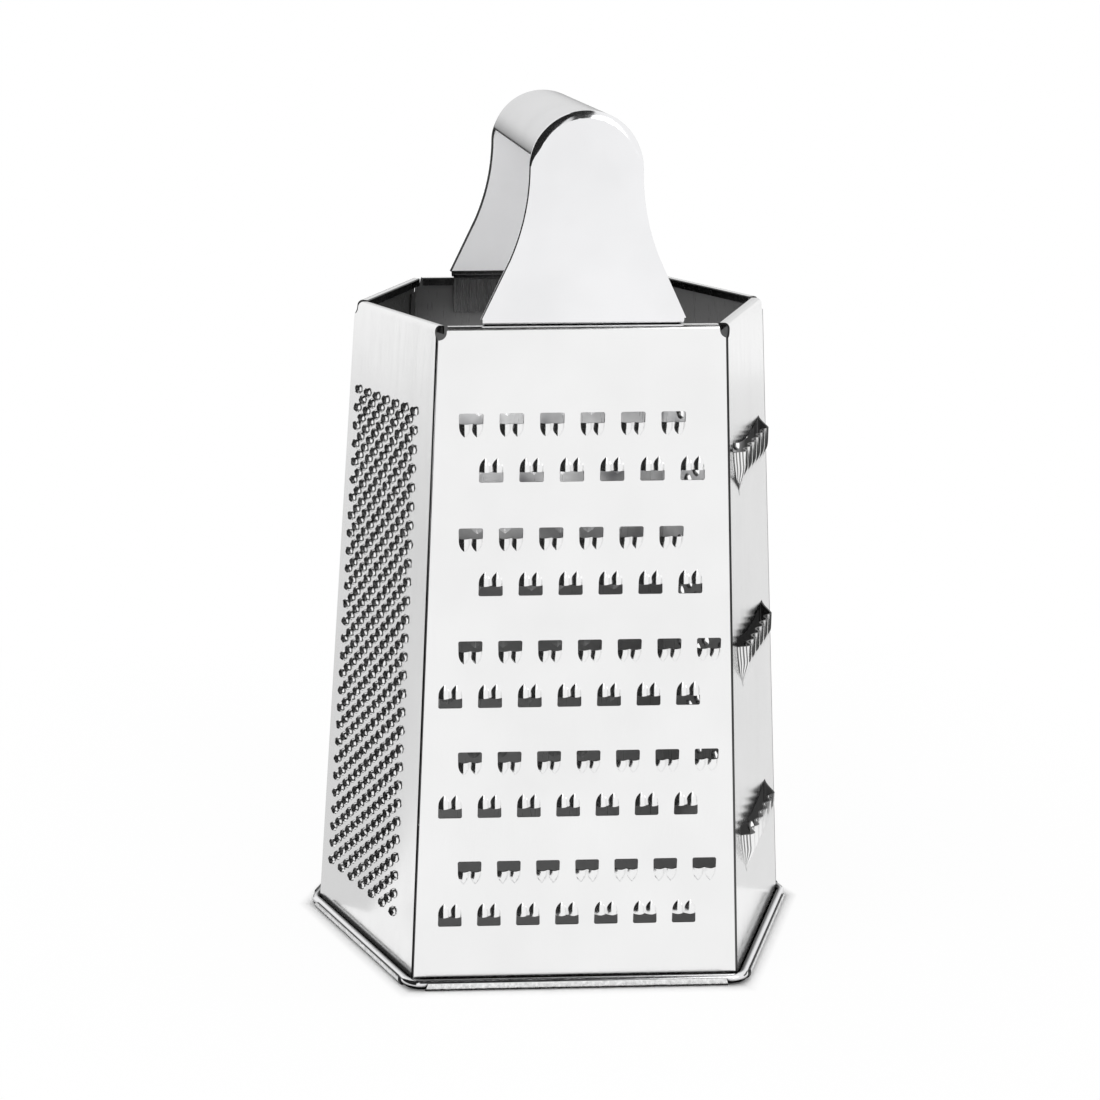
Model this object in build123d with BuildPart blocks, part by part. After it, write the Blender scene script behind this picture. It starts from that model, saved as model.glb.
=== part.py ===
from build123d import *
import os
from math import acos, atan, atan2, cos, degrees, hypot, radians, sin, tan

os.makedirs("parts", exist_ok=True)

# Driving dimensions of the six-sided body, in millimetres
rim_height = 176.0
rim_front_width = 73.6
rim_span = 111.8
rim_depth = 92.1
face_spread = 9.7
sheet = 0.5

# Rolled rim at the top of every face, and the round-bottomed notch at every top corner
rim_roll_radius = 1.45
rim_lip_depth = 3.3
rim_end_setback = 2.5
notch_width = 4.0
notch_depth = 3.4

# Lap flange that joins each face to the next one, and the open seam that shows at the corner
lap_width = 4.0
lap_top_margin = 1.0
seam = 0.15

# Base wire and the hem that curls round it, worn flat where it stands
wire_diameter = 2.4
wire_bend_radius = 4.2
curl_clearance = 0.05
curl_sweep = 192.0
hem_setback = 4.0
hem_flat_depth = 0.1

# Coarse shredding face: pairs of staggered rows, two teeth to an opening
coarse_opening_width = 6.3
coarse_opening_height = 2.9
coarse_tooth_length = 3.3
coarse_column_pitch = 10.37
coarse_first_row_drop = 22.4
coarse_pair_pitch = 29.8
coarse_row_offset = 11.6
coarse_pairs = 5
coarse_short_pairs = 2
coarse_reach = 3
tooth_wall = 0.45

# Medium shredding face: one tooth to an opening
medium_opening_width = 4.6
medium_opening_height = 2.2
medium_tooth_length = 3.2
medium_column_pitch = 8.4
medium_row_pitch = 9.2
medium_rows = 15
medium_first_row_drop = 21.0
medium_reach = 3

# Small shredding face
small_opening_width = 3.0
small_opening_height = 1.5
small_tooth_length = 2.4
small_column_pitch = 6.4
small_row_pitch = 6.6
small_rows = 21
small_first_row_drop = 21.0
small_reach = 2

# Fine rasp face: burred holes in a lattice turned by 45 degrees
fine_hole_diameter = 2.2
fine_burr_height = 0.9
fine_burr_wall = 0.25
fine_columns = 7
fine_rows = 28
fine_first_row_share = 0.136
fine_last_row_share = 0.926
fine_first_column_share = 0.113
fine_last_column_share = 0.773

# Coarse rasp face
rasp_hole_diameter = 3.0
rasp_burr_height = 1.2
rasp_burr_wall = 0.45
rasp_columns = 5
rasp_rows = 18
rasp_first_row_share = 0.14
rasp_last_row_share = 0.92
rasp_first_column_share = 0.19
rasp_last_column_share = 0.81
burr_taper = 15.0

# Slicing face: three slots with a lip raised below and an apron sunk above
slot_count = 3
slot_first_drop = 34.0
slot_pitch = 52.1
slot_height = 2.6
lip_width = 37.5
lip_length = 11.3
lip_rise = 2.6
lip_shoulder = 4.0
lip_shoulder_radius = 3.0
slot_centre_share = 0.443

# Handle: half-round grip between two bell-shaped plates with joggled feet
overall_height = 230.0
handle_sheet = 0.8
handle_length = 91.2
arch_radius = 14.4
handle_base_width = 52.4
flare_radius = 58.0
arch_edge_radius = 1.8
grip_edge_angle = 16.0
grip_end_setback = 0.2
grip_bead_radius = 0.8
foot_clearance = 0.2
foot_bend_radius = 1.0
foot_inset = 1.0
tab_length = 10.0
overrun = 20.0

# Sizes that follow from the body
wire_seat_radius = wire_diameter / 2 + curl_clearance
foot_height = 2 * (wire_seat_radius + sheet) - hem_flat_depth
curl_height = sheet + wire_seat_radius - hem_flat_depth
body_drop = rim_height - foot_height
taper = atan(face_spread / body_drop)
taper_degrees = degrees(taper)
face_length = body_drop / cos(taper)

rim_corners = [
    Vector(-rim_front_width / 2, -rim_depth / 2, rim_height),
    Vector(rim_front_width / 2, -rim_depth / 2, rim_height),
    Vector(rim_span / 2, 0, rim_height),
    Vector(rim_front_width / 2, rim_depth / 2, rim_height),
    Vector(-rim_front_width / 2, rim_depth / 2, rim_height),
    Vector(-rim_span / 2, 0, rim_height),
]
up = Vector(0, 0, 1)


class BodyFace:
    """One of the six flat faces, between two corners of the rim."""

    def __init__(self, index):
        self.index = index
        self.start = rim_corners[index]
        self.end = rim_corners[(index + 1) % 6]
        self.along = (self.end - self.start).normalized()
        self.out = self.along.cross(up)
        self.normal = self.out * cos(taper) + up * sin(taper)
        self.middle = (self.start + self.end) / 2
        self.rim_width = (self.end - self.start).length

    def plane(self, depth=0.0):
        """Plane of the face with its origin at the middle of the rim, x along the rim and y up the face."""
        return Plane(origin=self.middle - self.normal * depth, x_dir=self.along, z_dir=self.normal)

    def section_plane(self):
        """Upright plane square to the rim, x outward and y up, with its origin on the ground."""
        ground = Vector(self.middle.X, self.middle.Y, 0)
        return Plane(origin=ground, x_dir=self.out, z_dir=self.out.cross(up))


faces = [BodyFace(index) for index in range(6)]


def corner_run(face, neighbour):
    """How far the corner line runs along the face for each millimetre that it drops down the face."""
    shift = (face.out + neighbour.out) * (face_spread / (1 + face.out.dot(neighbour.out)))
    return shift.dot(face.along) / face_length


def face_edges(face, drop):
    """Where the two corner lines cross a level of the face, at a drop measured down the face."""
    before = faces[(face.index - 1) % 6]
    after = faces[(face.index + 1) % 6]
    left = -face.rim_width / 2 + corner_run(face, before) * drop
    right = face.rim_width / 2 + corner_run(face, after) * drop
    return left, right


def wall_path(inset):
    """One skin of a face's section: lip, rolled rim, flat wall and curl. Returns its two ends."""
    roll = rim_roll_radius - inset
    roll_height = rim_height - rim_roll_radius
    roll_x = tan(taper) * rim_roll_radius - rim_roll_radius / cos(taper)
    curl = wire_seat_radius + inset
    curl_x = tan(taper) * (rim_height - curl_height) + wire_seat_radius / cos(taper)
    lip = Line((roll_x - roll, rim_height - rim_lip_depth), (roll_x - roll, roll_height))
    CenterArc((roll_x, roll_height), roll, 180, taper_degrees - 180)
    Line(
        (roll_x + roll * cos(taper), roll_height + roll * sin(taper)),
        (curl_x - curl * cos(taper), curl_height - curl * sin(taper)),
    )
    curled = CenterArc((curl_x, curl_height), curl, 180 + taper_degrees, curl_sweep)
    return lip @ 0, curled @ 1


def sheet_outline():
    """Closed section of a face, one sheet thick."""
    with BuildLine() as outline:
        outer_lip, outer_curl = wall_path(0)
        inner_lip, inner_curl = wall_path(sheet)
        Line(outer_lip, inner_lip)
        Line(outer_curl, inner_curl)
    return outline.line


def folded_face(face):
    """Plain face with its rolled rim, notched top corners, hem and lap flange."""
    after = faces[(face.index + 1) % 6]
    before = faces[(face.index - 1) % 6]
    foot_left, foot_right = face_edges(face, face_length)
    with BuildPart() as folded:
        with BuildSketch(face.section_plane()):
            add(sheet_outline())
            make_face()
        extrude(amount=rim_span / 2, both=True)
        split(bisect_by=Plane.XY, keep=Keep.TOP)
        split(bisect_by=after.plane(sheet + seam), keep=Keep.BOTTOM)
        split(bisect_by=before.plane(), keep=Keep.BOTTOM)
        with BuildSketch(Plane(origin=Vector(face.middle.X, face.middle.Y, 0), x_dir=face.along)):
            with Locations((foot_left + hem_setback, 0)):
                Rectangle(overrun, 2 * overrun, align=(Align.MAX, Align.CENTER))
            with Locations((foot_right - hem_setback, 0)):
                Rectangle(overrun, 2 * overrun, align=(Align.MIN, Align.CENTER))
        extrude(amount=foot_height, mode=Mode.SUBTRACT)
        with BuildSketch(face.plane()):
            for side in (-1, 1):
                with Locations((side * face.rim_width / 2, notch_width / 2 - notch_depth)):
                    Circle(notch_width / 2)
                    Rectangle(notch_width, overrun, align=(Align.CENTER, Align.MIN))
        extrude(amount=overrun, both=True, mode=Mode.SUBTRACT)
        with BuildSketch(face.plane(rim_roll_radius)):
            for side, away in ((-1, Align.MAX), (1, Align.MIN)):
                with Locations((side * (face.rim_width / 2 - rim_end_setback), 0)):
                    Rectangle(overrun, overrun, align=(away, Align.CENTER))
        extrude(amount=-overrun, mode=Mode.SUBTRACT)
        with BuildSketch(after.plane(sheet)):
            lap_top = notch_depth + lap_top_margin
            top_left, _ = face_edges(after, lap_top)
            low_left, _ = face_edges(after, face_length)
            with BuildLine():
                Polyline(
                    (low_left, -face_length),
                    (low_left + lap_width, -face_length),
                    (top_left + lap_width, -lap_top),
                    (top_left, -lap_top),
                    close=True,
                )
            make_face()
        extrude(amount=-sheet)
    return folded.part


def half_cone(radius, length):
    """Half cone standing on the sheet, with its base on the cutting edge and its tip below it."""
    with BuildPart() as cone:
        with BuildSketch():
            with BuildLine():
                Polyline((0, 0), (-radius, 0), (0, -length), close=True)
            make_face()
        revolve(axis=Axis.Y, revolution_arc=180)
    return cone.part


def side_by_side(opening_width, teeth):
    """Places of the teeth along one cutting edge."""
    width = opening_width / teeth
    return [(width * (tooth - (teeth - 1) / 2), 0) for tooth in range(teeth)]


def raised_teeth(opening_width, tooth_length, teeth):
    """The teeth of one opening as solid half cones."""
    tooth = half_cone(opening_width / teeth / 2, tooth_length)
    with BuildPart() as raised:
        with Locations(*side_by_side(opening_width, teeth)):
            add(tooth)
    return raised.part


def tooth_pocket(opening_width, opening_height, tooth_length, teeth):
    """What one opening cuts through the sheet: its window and the hollow under each tooth."""
    radius = opening_width / teeth / 2
    hollow_radius = radius - tooth_wall
    hollow_length = tooth_length * hollow_radius / radius
    hollow = half_cone(hollow_radius, hollow_length)
    with BuildPart() as pocket:
        with BuildSketch(Plane.XY.offset(-2 * sheet)):
            with Locations(*side_by_side(opening_width, teeth)):
                Polygon((-hollow_radius, 0), (0, -hollow_length), (hollow_radius, 0), align=None)
        extrude(amount=2 * sheet)
        with BuildSketch(Plane.XY.offset(-2 * sheet)):
            Rectangle(opening_width, opening_height, align=(Align.CENTER, Align.MIN))
        extrude(amount=3 * sheet)
        with Locations(*side_by_side(opening_width, teeth)):
            add(hollow)
    return pocket.part


def punch(face, places, teeth, pocket):
    """Press the teeth out of the face that is being built, and cut the windows beside them."""
    with Locations(face.plane()):
        with Locations(*places):
            add(teeth)
            add(pocket, mode=Mode.SUBTRACT)


def downward(x, drop):
    """Place of an opening whose window is above its teeth."""
    return Location((x, -drop, 0))


def upward(x, drop):
    """Place of an opening whose window is below its teeth."""
    return Location((x, -drop, 0), (0, 0, 180))


def coarse_places():
    """Staggered pairs of rows, a quarter pitch to either side of the face's middle."""
    places = []
    for pair in range(coarse_pairs):
        drop = coarse_first_row_drop + pair * coarse_pair_pitch
        short = 1 if pair < coarse_short_pairs else 0
        for column in range(-coarse_reach, coarse_reach + 1 - short):
            x = (column + 1 / 4) * coarse_column_pitch
            places.append(downward(x, drop + coarse_opening_height))
        for column in range(-coarse_reach + short, coarse_reach + 1):
            x = (column - 1 / 4) * coarse_column_pitch
            places.append(upward(x, drop + coarse_row_offset + coarse_tooth_length))
    return places


def staggered_places(reach, rows, first_drop, row_pitch, column_pitch):
    """Rows of single openings, every other row moved by half a pitch."""
    places = []
    for row in range(rows):
        shift = row % 2
        for column in range(-reach, reach + 1 - shift):
            x = (column + shift / 2) * column_pitch
            places.append(downward(x, first_drop + row * row_pitch))
    return places


def lattice_places(face, columns, rows, column_shares, row_shares):
    """Holes at the crossings of a lattice, and one more in the middle of each of its cells."""
    places = []
    for line in range(2 * rows - 1):
        inner = line % 2
        row_share = row_shares[0] + (row_shares[1] - row_shares[0]) * line / (2 * rows - 2)
        drop = row_share * face_length
        left, right = face_edges(face, drop)
        for column in range(columns - inner):
            step = (column + inner / 2) / (columns - 1)
            column_share = column_shares[0] + (column_shares[1] - column_shares[0]) * step
            places.append((left + (right - left) * column_share, -drop))
    return places


def burr(face, places, hole_diameter, height, wall):
    """Raised burrs on the face that is being built, each with its hole through the sheet."""
    top_radius = hole_diameter / 2 + wall
    with Locations(face.plane()):
        with Locations(*places):
            Cone(
                top_radius + height * tan(radians(burr_taper)),
                top_radius,
                height,
                align=(Align.CENTER, Align.CENTER, Align.MIN),
            )
            Cylinder(hole_diameter / 2, 2 * (height + sheet), mode=Mode.SUBTRACT)


def lip_outline(depth):
    """Flat-topped arch of a slicing lip, let down by a depth below the sheet's surface."""
    half = lip_width / 2
    with BuildLine() as outline:
        FilletPolyline(
            (-half, -depth),
            (lip_shoulder - half, lip_rise - depth),
            (half - lip_shoulder, lip_rise - depth),
            (half, -depth),
            radius=lip_shoulder_radius,
        )
    return outline.line


def lip_space():
    """Plane square to a lip that rises towards its cutting edge on the x axis."""
    tilt = atan(lip_rise / lip_length)
    return Plane(origin=(0, 0, 0), x_dir=(1, 0, 0), z_dir=(0, -cos(tilt), -sin(tilt)))


def slicing_lip():
    """Arched lip, one sheet thick, which runs out where it meets the flat of the face."""
    half = lip_width / 2
    with BuildPart() as lip:
        with BuildSketch(lip_space()):
            with BuildLine():
                add(lip_outline(0))
                add(lip_outline(sheet))
                Line((-half, 0), (-half, -sheet))
                Line((half, 0), (half, -sheet))
            make_face()
        extrude(amount=lip_length + lip_rise)
        split(bisect_by=Plane.XY.offset(-sheet), keep=Keep.TOP)
    return lip.part


def lip_hollow():
    """What lies under the lip and has to leave the flat of the face."""
    half = lip_width / 2
    with BuildPart() as hollow:
        with BuildSketch(lip_space()):
            with BuildLine():
                add(lip_outline(sheet))
                Polyline((-half, -sheet), (-half, -overrun), (half, -overrun), (half, -sheet))
            make_face()
        extrude(amount=lip_length + lip_rise)
        split(bisect_by=Plane.XY.offset(-2 * sheet), keep=Keep.TOP)
    return hollow.part


def slicing_slots(face, drops):
    """Slots with a lip raised below them and an apron sunk above them, in the face that is being built."""
    lip = slicing_lip()
    hollow = lip_hollow()
    for drop in drops:
        left, right = face_edges(face, drop)
        x = left + (right - left) * slot_centre_share
        edge = Location((x, -drop, 0))
        apron = Location((x, slot_height - drop, -sheet), (180, 0, 0))
        with BuildSketch(face.plane()) as window:
            with Locations((x, -drop)):
                Rectangle(lip_width, slot_height, align=(Align.CENTER, Align.MIN))
        extrude(window.sketch, amount=-sheet, mode=Mode.SUBTRACT)
        with Locations(face.plane()):
            with Locations(edge, apron):
                add(hollow, mode=Mode.SUBTRACT)
                add(lip)


def save(piece, name):
    """Label a finished piece and write it to its own file."""
    piece.part.label = name
    export_step(piece.part, f"parts/{name}.step")


front, front_right, rear_right, rear, rear_left, front_left = faces

# Front face: coarse shredder
coarse_teeth = raised_teeth(coarse_opening_width, coarse_tooth_length, 2)
coarse_pocket = tooth_pocket(coarse_opening_width, coarse_opening_height, coarse_tooth_length, 2)
with BuildPart() as front_coarse_panel:
    add(folded_face(front))
    punch(front, coarse_places(), coarse_teeth, coarse_pocket)
save(front_coarse_panel, "front_coarse_panel")

# Front right face: slicer
slot_drops = [slot_first_drop + slot * slot_pitch for slot in range(slot_count)]
with BuildPart() as front_right_slicing_panel:
    add(folded_face(front_right))
    slicing_slots(front_right, slot_drops)
save(front_right_slicing_panel, "front_right_slicing_panel")

# Rear right face: coarse rasp
rasp_column_shares = (rasp_first_column_share, rasp_last_column_share)
rasp_row_shares = (rasp_first_row_share, rasp_last_row_share)
rasp_places = lattice_places(rear_right, rasp_columns, rasp_rows, rasp_column_shares, rasp_row_shares)
with BuildPart() as rear_right_rasp_panel:
    add(folded_face(rear_right))
    burr(rear_right, rasp_places, rasp_hole_diameter, rasp_burr_height, rasp_burr_wall)
save(rear_right_rasp_panel, "rear_right_rasp_panel")

# Rear face: medium shredder
medium_teeth = raised_teeth(medium_opening_width, medium_tooth_length, 1)
medium_pocket = tooth_pocket(medium_opening_width, medium_opening_height, medium_tooth_length, 1)
medium_places = staggered_places(
    medium_reach, medium_rows, medium_first_row_drop, medium_row_pitch, medium_column_pitch
)
with BuildPart() as rear_medium_panel:
    add(folded_face(rear))
    punch(rear, medium_places, medium_teeth, medium_pocket)
save(rear_medium_panel, "rear_medium_panel")

# Rear left face: small shredder
small_teeth = raised_teeth(small_opening_width, small_tooth_length, 1)
small_pocket = tooth_pocket(small_opening_width, small_opening_height, small_tooth_length, 1)
small_places = staggered_places(
    small_reach, small_rows, small_first_row_drop, small_row_pitch, small_column_pitch
)
with BuildPart() as rear_left_small_panel:
    add(folded_face(rear_left))
    punch(rear_left, small_places, small_teeth, small_pocket)
save(rear_left_small_panel, "rear_left_small_panel")

# Front left face: fine rasp
fine_column_shares = (fine_first_column_share, fine_last_column_share)
fine_row_shares = (fine_first_row_share, fine_last_row_share)
fine_places = lattice_places(front_left, fine_columns, fine_rows, fine_column_shares, fine_row_shares)
with BuildPart() as front_left_fine_panel:
    add(folded_face(front_left))
    burr(front_left, fine_places, fine_hole_diameter, fine_burr_height, fine_burr_wall)
save(front_left_fine_panel, "front_left_fine_panel")

# Base wire, bent round the six corners
wire_spread = tan(taper) * (rim_height - curl_height) + wire_seat_radius / cos(taper)
wire_corners = []
for face in faces:
    before = faces[(face.index - 1) % 6]
    corner = face.start + (face.out + before.out) * (wire_spread / (1 + face.out.dot(before.out)))
    wire_corners.append((corner.X, corner.Y))
with BuildPart() as base_wire:
    with BuildLine(Plane.XY.offset(curl_height)) as wire_path:
        FilletPolyline(*wire_corners, radius=wire_bend_radius, close=True)
    with BuildSketch(Plane(origin=wire_path.line @ 0, z_dir=wire_path.line % 0)):
        Circle(wire_diameter / 2)
    sweep(path=wire_path.line)
save(base_wire, "base_wire")

# Places shared by the three pieces of the handle
arch_height = overall_height - arch_radius
plate_face = handle_length / 2
grip_half_length = plate_face - arch_edge_radius - grip_end_setback
ledge_height = rim_height + foot_clearance
lip_face = rim_depth / 2 + tan(taper) * rim_roll_radius - rim_roll_radius / cos(taper) - rim_roll_radius
tab_foot = rim_height - tab_length
base_half = handle_base_width / 2
grip_sweep = 180 - 2 * grip_edge_angle
grip_edge = radians(grip_edge_angle)
bend_inside = foot_bend_radius - handle_sheet
arch_edge_inside = arch_edge_radius - handle_sheet

# The hollow flare starts upright at the arch and ends where a straight edge to the base is tangent to it
flare_centre = (arch_radius + flare_radius, arch_height)
flare_across = flare_centre[0] - base_half
flare_rise = arch_height - ledge_height
flare_reach = hypot(flare_across, flare_rise)
flare_turn = atan2(flare_rise, flare_across) - acos(flare_radius / flare_reach)
flare_foot = (
    flare_centre[0] - flare_radius * cos(flare_turn),
    flare_centre[1] - flare_radius * sin(flare_turn),
)


def plate_section():
    """Side section of a plate: upright wall, joggle over the rim and tab behind the lip."""
    with BuildLine() as section:
        FilletPolyline(
            (-plate_face, overall_height),
            (-plate_face, ledge_height),
            (-lip_face, ledge_height),
            (-lip_face, tab_foot),
            radius=[foot_bend_radius, bend_inside],
        )
        FilletPolyline(
            (handle_sheet - plate_face, overall_height),
            (handle_sheet - plate_face, ledge_height + handle_sheet),
            (handle_sheet - lip_face, ledge_height + handle_sheet),
            (handle_sheet - lip_face, tab_foot),
            radius=[bend_inside, foot_bend_radius],
        )
        Line((-plate_face, overall_height), (handle_sheet - plate_face, overall_height))
        Line((-lip_face, tab_foot), (handle_sheet - lip_face, tab_foot))
    return section.line


def plate_outline():
    """Right half of a plate's front outline, from its tab up to the crown of the arch."""
    crown = arch_radius - arch_edge_radius
    turn = degrees(flare_turn)
    with BuildLine() as outline:
        Polyline(
            (0, tab_foot),
            (base_half - foot_inset, tab_foot),
            (base_half - foot_inset, ledge_height),
            (base_half, ledge_height),
            flare_foot,
        )
        CenterArc((arch_radius + flare_radius, arch_height), flare_radius, 180 + turn, -turn)
        CenterArc((0, arch_height), arch_radius, 0, grip_edge_angle)
        Line(
            (arch_radius * cos(grip_edge), arch_height + arch_radius * sin(grip_edge)),
            (crown * cos(grip_edge), arch_height + crown * sin(grip_edge)),
        )
        CenterArc((0, arch_height), crown, grip_edge_angle, 90 - grip_edge_angle)
        Line((0, arch_height + crown), (0, tab_foot))
    return outline.line


# Front plate of the handle, with its rounded edge swept round the arch
arch_bend = (arch_radius - arch_edge_radius, arch_edge_radius - plate_face)
arch_edge_plane = Plane(
    origin=(0, 0, arch_height),
    x_dir=(cos(grip_edge), 0, sin(grip_edge)),
    z_dir=(-sin(grip_edge), 0, cos(grip_edge)),
)
with BuildPart() as handle_front_plate:
    with BuildSketch(Plane.YZ):
        add(plate_section())
        make_face()
    extrude(amount=base_half, both=True)
    with BuildSketch(Plane.XZ):
        add(plate_outline())
        make_face()
        mirror(about=Plane.YZ)
    extrude(amount=handle_length, mode=Mode.INTERSECT)
    with BuildSketch(arch_edge_plane):
        with BuildLine():
            CenterArc(arch_bend, arch_edge_radius, -90, 90)
            CenterArc(arch_bend, arch_edge_inside, -90, 90)
            Line((arch_bend[0], -plate_face), (arch_bend[0], handle_sheet - plate_face))
            Polyline(
                (arch_radius, arch_bend[1]),
                (arch_radius, -grip_half_length),
                (arch_radius - handle_sheet, -grip_half_length),
                (arch_radius - handle_sheet, arch_bend[1]),
            )
        make_face()
    revolve(axis=Axis((0, 0, arch_height), (0, -1, 0)), revolution_arc=grip_sweep)
save(handle_front_plate, "handle_front_plate")

# Rear plate of the handle
with BuildPart() as handle_rear_plate:
    mirror(handle_front_plate.part, about=Plane.XZ)
save(handle_rear_plate, "handle_rear_plate")

# Grip: half-round sheet with a bead along both lower edges
with BuildPart() as handle_grip:
    with BuildSketch(Plane.XZ):
        with BuildLine():
            outer = CenterArc((0, arch_height), arch_radius, grip_edge_angle, grip_sweep)
            inner = CenterArc((0, arch_height), arch_radius - handle_sheet, grip_edge_angle, grip_sweep)
            Line(outer @ 0, inner @ 0)
            Line(outer @ 1, inner @ 1)
        make_face()
        with Locations((0, arch_height)):
            bead_circle = arch_radius - grip_bead_radius
            with PolarLocations(bead_circle, 2, grip_edge_angle, grip_sweep, endpoint=True):
                Circle(grip_bead_radius)
    extrude(amount=grip_half_length, both=True)
save(handle_grip, "handle_grip")
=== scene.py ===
from math import acos, atan, atan2, cos, hypot, pi, radians, sin, tan
from random import Random

import bmesh
import bpy
from mathutils import Matrix, Vector
from mathutils.geometry import delaunay_2d_cdt


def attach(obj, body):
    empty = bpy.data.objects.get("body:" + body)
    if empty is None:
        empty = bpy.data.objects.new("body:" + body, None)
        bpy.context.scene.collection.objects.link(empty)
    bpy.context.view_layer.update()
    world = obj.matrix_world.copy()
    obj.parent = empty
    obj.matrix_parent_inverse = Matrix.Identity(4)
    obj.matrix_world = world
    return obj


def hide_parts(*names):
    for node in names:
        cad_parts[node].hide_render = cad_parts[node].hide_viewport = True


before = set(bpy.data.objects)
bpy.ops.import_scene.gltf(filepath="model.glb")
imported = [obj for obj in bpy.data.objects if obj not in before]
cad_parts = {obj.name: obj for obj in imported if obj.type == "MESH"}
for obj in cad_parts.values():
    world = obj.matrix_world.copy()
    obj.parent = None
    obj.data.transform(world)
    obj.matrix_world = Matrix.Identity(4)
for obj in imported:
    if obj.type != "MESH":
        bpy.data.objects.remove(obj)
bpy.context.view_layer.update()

# Six-sided body, in metres, and how far its outline turns at a front corner
rim_height = 0.1760
rim_front_width = 0.0736
rim_span = 0.1118
rim_depth = 0.0921
face_spread = 0.0097
sheet = 0.0005
seam = 0.00005
open_seam = 0.0009
corner_turn = radians(67.5)

# Rolled rim and the notch at every top corner
rim_roll_radius = 0.00145
rim_lip_depth = 0.0033
rim_fold_radius = 0.00035
rim_end_setback = 0.0026
notch_radius = 0.0020
notch_depth = 0.0034

# Lap flange behind each corner
lap_width = 0.0040
lap_top_drop = 0.0044

# Base wire and the hem that curls round it
wire_radius = 0.0012
wire_bend_radius = 0.0042
curl_clearance = 0.00005
curl_sweep = radians(205)
hem_setback = 0.0036
hem_slant = 0.0007
hem_flat_depth = 0.0001
wire_sides = 24
wire_bend_steps = 14

# Coarse shredder
coarse_width = 0.0063
coarse_window = 0.0027
coarse_tooth = 0.0036
coarse_tooth_rise = 0.0010
coarse_teeth = 2
coarse_column_pitch = 0.01037
coarse_first_row_drop = 0.02215
coarse_pair_pitch = 0.0298
coarse_row_offset = 0.0116
coarse_pairs = 5
coarse_short_pairs = 2
coarse_reach = 3

# Medium shredder: its opening has the window's width and height and the tooth's length and rise
medium_opening = (0.0046, 0.0022, 0.0032, 0.0014)
medium_column_pitch = 0.0084
medium_row_pitch = 0.0092
medium_rows = 15
medium_first_row_drop = 0.0210
medium_reach = 3

# Small shredder, with the same measures
small_opening = (0.0030, 0.0015, 0.0024, 0.0009)
small_column_pitch = 0.0064
small_row_pitch = 0.0066
small_rows = 21
small_first_row_drop = 0.0210
small_reach = 2

# Windows and teeth of every shredder
window_corner_radius = 0.0005
window_corner_steps = 4
tooth_web = 0.0001
tooth_steps = 8
tooth_columns = 12

# Powers of a tooth's narrowing and fall towards its tip, and of its crown from side to side
tooth_narrowing = 3
tooth_fall = 2.2
tooth_crown = 1.6

# Fine rasp: its burr has the radius at the base and at the rim, the rise and the lean
fine_burr = (0.00146, 0.00120, 0.00090, 0.35)
fine_columns = 7
fine_rows = 28
fine_column_shares = (0.113, 0.773)
fine_row_shares = (0.136, 0.926)
fine_seed = 7

# Coarse rasp, with the same measures
rasp_burr = (0.0023, 0.00190, 0.0012, 0.30)
rasp_columns = 5
rasp_rows = 18
rasp_column_shares = (0.19, 0.81)
rasp_row_shares = (0.14, 0.92)
rasp_seed = 11

# Burrs of both rasps: how far each row lies inward and upward, and how thick the sheet is there
burr_sides = 16
burr_profile = ((0.0, 0.0), (0.30, 0.30), (0.62, 0.65), (1.0, 1.0))
burr_thinning = (1.0, 0.9, 0.7, 0.5)

# Ragged rim of a burr: mean height, lobes and tears as shares of its height, and how far they bend it
burr_mean_height = 0.86
burr_lobes = 4
burr_lobe_height = 0.10
burr_tear = 0.14
burr_bend = 0.06
burr_bend_lag = 5

# Slicer
slot_count = 3
slot_first_drop = 0.0340
slot_pitch = 0.0521
slot_height = 0.0028
slot_centre_share = 0.443
lip_width = 0.0375
lip_length = 0.0130
lip_rise = 0.0026
lip_shoulder = 0.0016
lip_flat_share = 0.30
shoulder_columns = 9
# Walls of a lip's shoulder that get painted shade as dark lines
shaded_shoulder_walls = (1, 3, 5, 7)
lip_far_shoulder = 0.0034
lip_near_inset = 0.0070
lip_far_inset = 0.0020
apron_length = 0.0085
apron_sink = 0.0001
apron_sag = 0.0026
flute_count = 6
flute_rise = 0.0007
flute_length = 0.80
flute_columns = 12
lip_steps = 18
apron_steps = 10

# Powers of a lip's narrowing towards its end and of its flutes' fading
lip_narrowing = 1.6
flute_fading = 0.7

# Handle
overall_height = 0.2300
handle_sheet = 0.0008
handle_length = 0.0912
arch_radius = 0.0144
handle_base_width = 0.0524
flare_radius = 0.0580
arch_edge_radius = 0.0018
arch_edge_width = 0.0020
arch_crease = radians(24)
arch_edge_start = radians(3)
arch_edge_full = radians(26)
plate_bevel = 0.00055
plate_bevel_depth = 0.00045
plate_bevel_steps = 4
grip_edge = radians(16)
grip_bead_radius = 0.0008
grip_bead_sweep = 1.35 * pi
grip_bead_turn = 0.13
grip_bead_steps = 14
grip_end_setback = 0.0002
foot_clearance = 0.0002
foot_bend_radius = 0.0015
foot_inset = 0.0010
tab_length = 0.0100

# Limits and steps that every mesh shares
merge_distance = 0.000002
shell_stretch_limit = 1.6
sharp_angle = radians(32)
curve_steps = 12
flat_normal_weight = 100

# Flats are filled in millimetres, because in metres their points lie too close together
fill_scale = 1000
fill_tolerance = 1e-5

# Places of the materials on a sheet, the first three the same on every sheet
outside_index, cut_index, inside_index = 0, 1, 2
hem_index, torn_shaded_index, half_shade_index, shaded_index = 3, 4, 5, 6
foot_bend_index, foot_tab_index = 3, 4
grip_outside_index, grip_shaded_index = 0, 1

# Steel: scale per metre, detail and roughness of each noise, and depths of the bumps in metres
streak_stretch = 0.02
streak_noise = (3200.0, 3.0, 0.6)
band_noise = (420.0, 2.0, 0.5)
patch_noise = (3.0, 0.5)
band_roughness = 0.05
streak_depth = 0.00002
mottle_depth = 0.0004
noise_range = (0.3, 0.7)

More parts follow.
